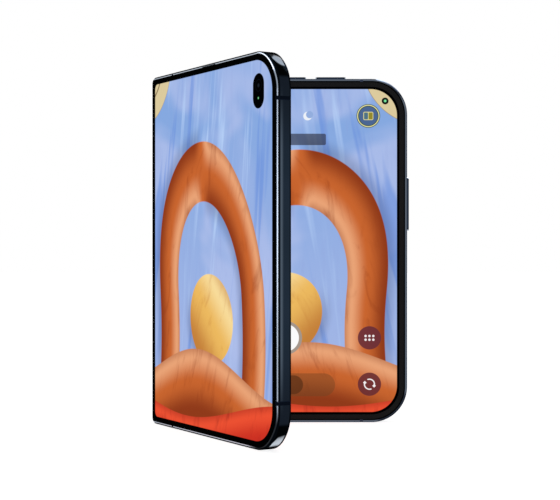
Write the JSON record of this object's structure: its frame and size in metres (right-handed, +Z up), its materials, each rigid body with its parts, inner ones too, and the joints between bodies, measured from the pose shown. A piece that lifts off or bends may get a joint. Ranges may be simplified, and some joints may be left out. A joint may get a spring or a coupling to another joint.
{
  "type": "folding phone",
  "caption": "Book-style folding phone, half open, with an outer screen, a folding inner screen, a geared two-axis hinge, keys and cameras.",
  "frame": {"origin": "centre of the main half's lower edge, which the phone stands on, in the mouth of the port", "axes": "+Z up along the fold and the long side, +X across the main half from the fold to its free edge, -Y out of the main half's inner display"},
  "size_m": [0.0895, 0.082, 0.1208],
  "materials": {
    "frame_metal": "dark navy anodised, polished edges and satin sides",
    "key_metal": "dark navy anodised, satin",
    "antenna_plastic": "dark navy moulded plastic",
    "back_glass": "dark navy back-painted glass",
    "lens_glass": "black polished glass",
    "flash_lens": "pale diffusing lens",
    "inner_screen": "lit display under a clear film",
    "cover_screen_glass": "lit display under polished glass",
    "trim_rubber": "dark grey moulded trim",
    "inner_alloy": "machined",
    "spine_metal": "dark navy anodised, satin",
    "hinge_steel": "machined steel",
    "battery_wrap": "black film",
    "board_laminate": "green laminate",
    "coil_copper": "enamelled copper",
    "inner_plastic": "moulded black plastic"
  },
  "bodies": {
    "main_half": {"main_frame": "frame_metal", "main_antenna_breaks": "antenna_plastic", "rear_cover": "back_glass", "camera_plateau": "back_glass", "camera_rings": "frame_metal", "camera_windows": "lens_glass", "flash_window": "flash_lens", "rear_camera": "inner_alloy", "main_display": "inner_screen", "main_display_trim": "trim_rubber", "main_midplate": "inner_alloy", "front_camera": "lens_glass", "main_battery": "battery_wrap", "main_board": "board_laminate", "board_shields": "inner_alloy", "charging_coil": "coil_copper", "charging_port": "hinge_steel", "loudspeaker": "inner_plastic", "haptic_motor": "hinge_steel", "main_magnets": "hinge_steel", "key_switches": "inner_plastic", "main_hinge_arms": "hinge_steel", "main_hinge_shafts": "hinge_steel"},
    "spine": {"spine_cover": "spine_metal", "spine_end_plugs": "spine_metal", "spine_plate": "inner_alloy", "hinge_housings": "inner_alloy", "friction_springs": "hinge_steel", "fold_display": "inner_screen"},
    "cover_half": {"cover_frame": "frame_metal", "cover_antenna_breaks": "antenna_plastic", "cover_glass": "cover_screen_glass", "cover_screen": "cover_screen_glass", "cover_camera": "lens_glass", "cover_inner_display": "inner_screen", "cover_display_trim": "trim_rubber", "cover_midplate": "inner_alloy", "cover_battery": "battery_wrap", "cover_board": "board_laminate", "earpiece": "inner_plastic", "cover_magnets": "hinge_steel", "cover_hinge_arms": "hinge_steel", "cover_hinge_shafts": "hinge_steel"},
    "main_wing": {"main_wing_plate": "inner_alloy"},
    "cover_wing": {"cover_wing_plate": "inner_alloy"},
    "main_idlers": {"main_idler_gears": "hinge_steel"},
    "cover_idlers": {"cover_idler_gears": "hinge_steel"},
    "power_key": {"power_button": "key_metal"},
    "volume_up_key": {"volume_up_button": "key_metal"},
    "volume_down_key": {"volume_down_button": "key_metal"}
  },
  "joints": [
    {"name": "spine_fold", "type": "hinge", "parent": "main_half", "child": "spine", "pos_m": [-0.0402, -0.0003, 0.06], "axis": [0, 0, 1], "range_deg": [-60.4, 29.6], "deforming": ["fold_display"]},
    {"name": "cover_fold", "type": "hinge", "parent": "spine", "child": "cover_half", "pos_m": [-0.04267, -0.00465, 0.06], "axis": [0, 0, 1], "range_deg": [-60.4, 29.6]},
    {"name": "main_idler_turn", "type": "hinge", "parent": "spine", "child": "main_idlers", "pos_m": [-0.04102, -0.00175, 0.06], "axis": [0, 0, 1], "range_deg": [-60.4, 29.6]},
    {"name": "cover_idler_turn", "type": "hinge", "parent": "spine", "child": "cover_idlers", "pos_m": [-0.04185, -0.0032, 0.06], "axis": [0, 0, 1], "range_deg": [-29.6, 60.4]},
    {"name": "main_wing_tilt", "type": "hinge", "parent": "main_half", "child": "main_wing", "pos_m": [-0.03385, -0.00105, 0.06], "axis": [0, 0, 1], "range_deg": [-8.88, 18.12]},
    {"name": "cover_wing_tilt", "type": "hinge", "parent": "cover_half", "child": "cover_wing", "pos_m": [-0.03877, -0.00972, 0.06], "axis": [0, 0, 1], "range_deg": [-18.12, 8.88]},
    {"name": "power_press", "type": "slide", "parent": "main_half", "child": "power_key", "axis": [-1, 0, 0], "range_m": [0, 0.00025], "stiffness_N_per_m": 2000},
    {"name": "volume_up_press", "type": "slide", "parent": "main_half", "child": "volume_up_key", "axis": [0, 0, -1], "range_m": [0, 0.00025], "stiffness_N_per_m": 2000},
    {"name": "volume_down_press", "type": "slide", "parent": "main_half", "child": "volume_down_key", "axis": [0, 0, -1], "range_m": [0, 0.00025], "stiffness_N_per_m": 2000}
  ],
  "couplings": [
    {"joint": "cover_fold", "follows": "spine_fold", "ratio": 1},
    {"joint": "main_idler_turn", "follows": "spine_fold", "ratio": 1},
    {"joint": "cover_idler_turn", "follows": "spine_fold", "ratio": -1},
    {"joint": "main_wing_tilt", "follows": "spine_fold", "ratio": -0.3},
    {"joint": "cover_wing_tilt", "follows": "spine_fold", "ratio": 0.3}
  ]
}
